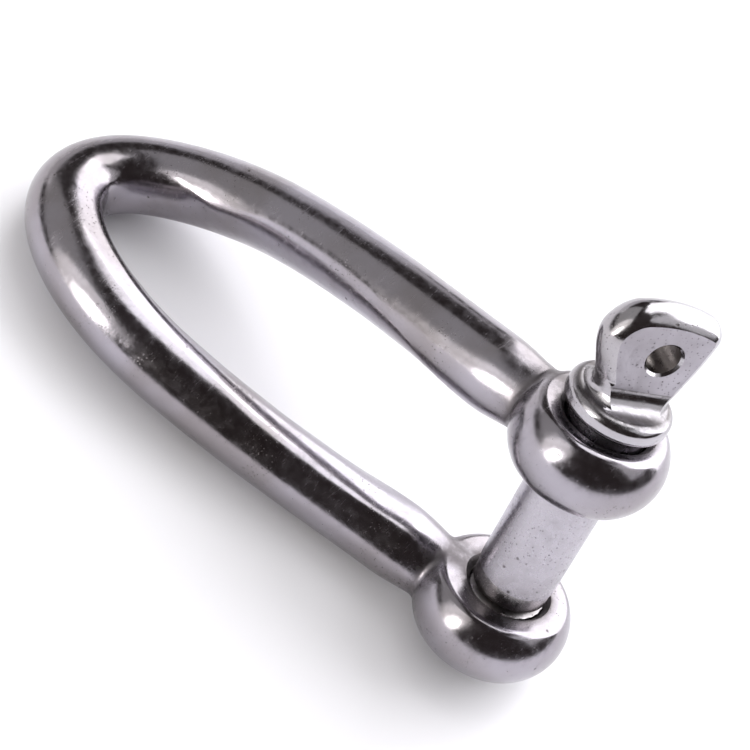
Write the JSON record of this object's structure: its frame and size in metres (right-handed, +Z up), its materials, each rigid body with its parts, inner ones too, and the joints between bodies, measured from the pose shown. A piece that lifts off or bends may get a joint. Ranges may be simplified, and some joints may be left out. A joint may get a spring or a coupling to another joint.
{
  "type": "twist shackle",
  "caption": "Long dee shackle with its bow twisted a quarter turn to the eyes, and a screw pin with a pierced finger tab.",
  "frame": {"origin": "middle of the footprint, on the bench it lies on", "axes": "+Z up as the shackle lies on the rim of its tapped eye, on one leg and on its crown; +X runs from the eyes towards the crown, level with the bench; +Y completes a right-handed frame. The pin's axis leans: it points up and away from +Z by 19 degrees"},
  "size_m": [0.0924, 0.0336, 0.0541],
  "materials": {
    "polished_steel": "polished",
    "satin_steel": "satin, lightly pitted",
    "thread_steel": "machined",
    "head_steel": "polished, satin on the tab's faces"
  },
  "bodies": {
    "shackle": {"shackle_body": "polished_steel"},
    "pin_travel": {"pin_shank": "satin_steel"},
    "pin_turn": {"pin_thread": "thread_steel", "pin_head": "head_steel"}
  },
  "joints": [
    {"name": "pin_travel", "type": "slide", "parent": "shackle", "child": "pin_travel", "axis": [0.1897, -0.2639, 0.9457], "range_m": [-0.00085, 0.045]},
    {"name": "pin_turn", "type": "hinge", "parent": "pin_travel", "child": "pin_turn", "pos_m": [-0.0302, -0.00515, 0.03871], "axis": [0.1897, -0.2639, 0.9457], "range_deg": [-205, 10801]}
  ],
  "couplings": [
    {"joint": "pin_turn", "follows": "pin_travel", "rad_per_m": 4188.8}
  ]
}
